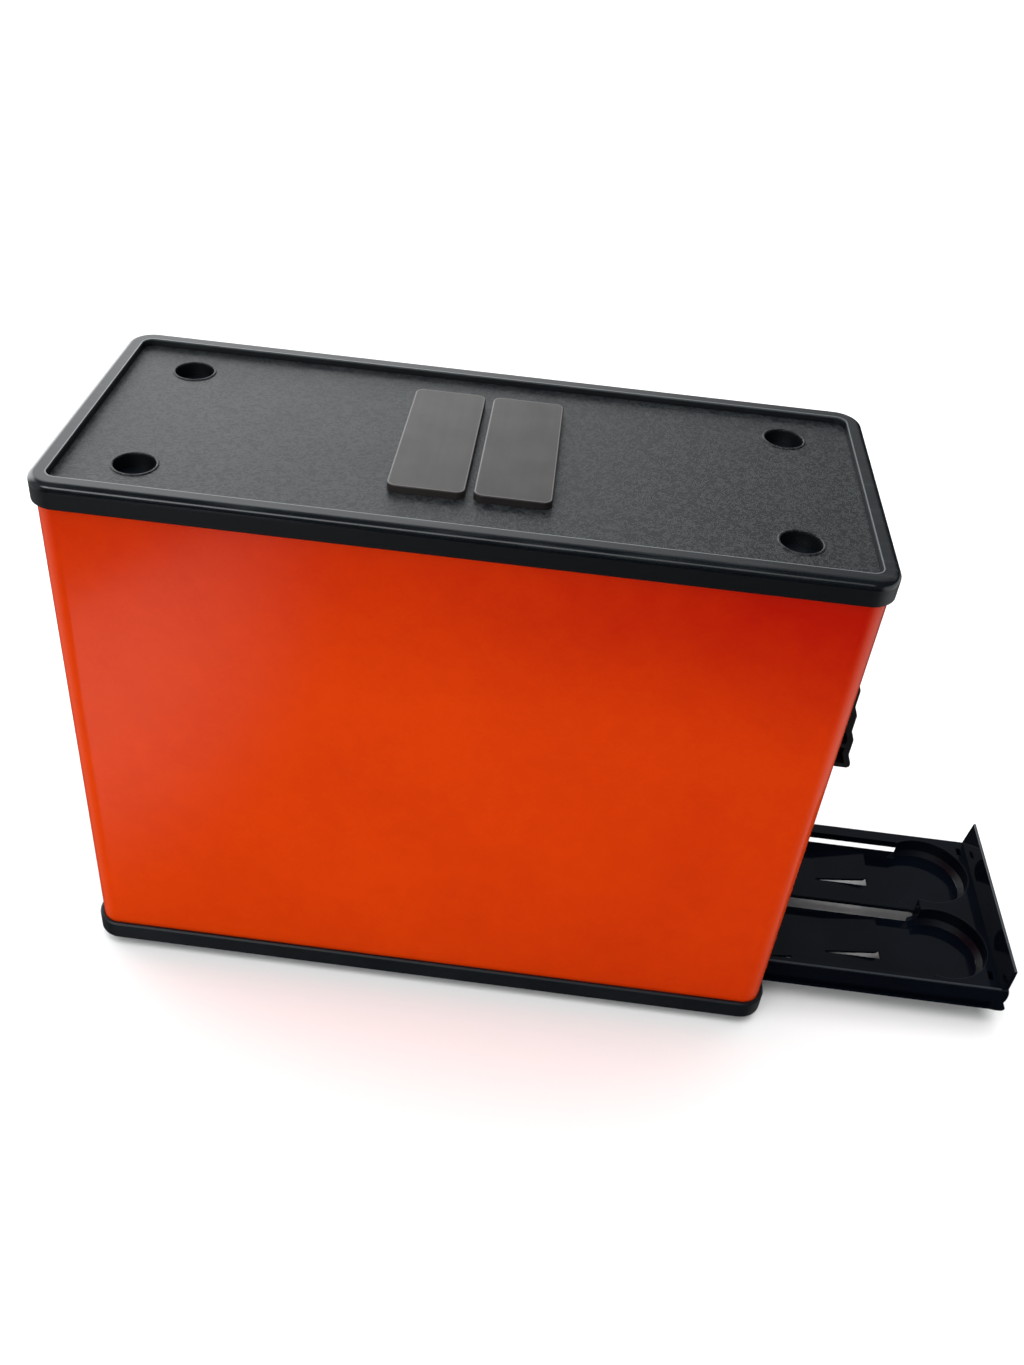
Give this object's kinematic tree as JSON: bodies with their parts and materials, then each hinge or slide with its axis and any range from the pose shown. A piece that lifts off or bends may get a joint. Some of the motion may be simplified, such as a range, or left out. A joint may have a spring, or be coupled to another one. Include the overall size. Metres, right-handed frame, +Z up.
{
  "type": "coffee capsule stand",
  "caption": "Tall capsule dispenser: painted sheet-steel sleeve between a black lid and base, upright columns inside, and a drawer whose keyhole lanes bring capsules out at the front.",
  "frame": {"origin": "on the surface that the stand rests on, at the centre of its four feet", "axes": "+X along the stand, the way the drawer comes out; +Y to the stand's own left; +Z up"},
  "size_m": [0.3889, 0.122, 0.225],
  "materials": {
    "sleeve_paint": "satin orange",
    "lid_plastic": "satin rim, fine grain on the panel",
    "base_plastic": "satin",
    "drawer_plastic": "high gloss",
    "grip_plastic": "semi gloss",
    "foot_rubber": "matte",
    "inner_plastic": "satin",
    "spring_steel": "bright rolled",
    "rivet_aluminium": "plain",
    "screw_steel": "zinc plated"
  },
  "bodies": {
    "housing": {"sleeve": "sleeve_paint", "base": "base_plastic", "front_grip": "grip_plastic", "foot_front_left": "foot_rubber", "foot_front_right": "foot_rubber", "foot_rear_left": "foot_rubber", "foot_rear_right": "foot_rubber", "runner_left": "inner_plastic", "runner_right": "inner_plastic", "side_guide_left": "inner_plastic", "side_guide_right": "inner_plastic", "centre_divider": "inner_plastic", "hopper_rim": "inner_plastic", "check_spring_left": "spring_steel", "check_spring_right": "spring_steel", "check_rivets": "rivet_aluminium", "base_screws": "screw_steel", "grip_screws": "screw_steel", "column_divider_1": "inner_plastic", "column_divider_2": "inner_plastic", "column_divider_3": "inner_plastic", "column_divider_4": "inner_plastic", "column_divider_5": "inner_plastic", "column_divider_6": "inner_plastic", "column_divider_7": "inner_plastic"},
    "drawer": {"drawer_tray": "drawer_plastic", "drawer_front": "drawer_plastic", "drawer_front_screws": "screw_steel"},
    "lid": {"lid": "lid_plastic"}
  },
  "joints": [
    {"name": "drawer_slide", "type": "slide", "parent": "housing", "child": "drawer", "axis": [1, 0, 0], "range_m": [-0.0998, 0]},
    {"name": "lid_lift", "type": "slide", "parent": "housing", "child": "lid", "axis": [0, 0, 1], "range_m": [0, 0.06]}
  ]
}
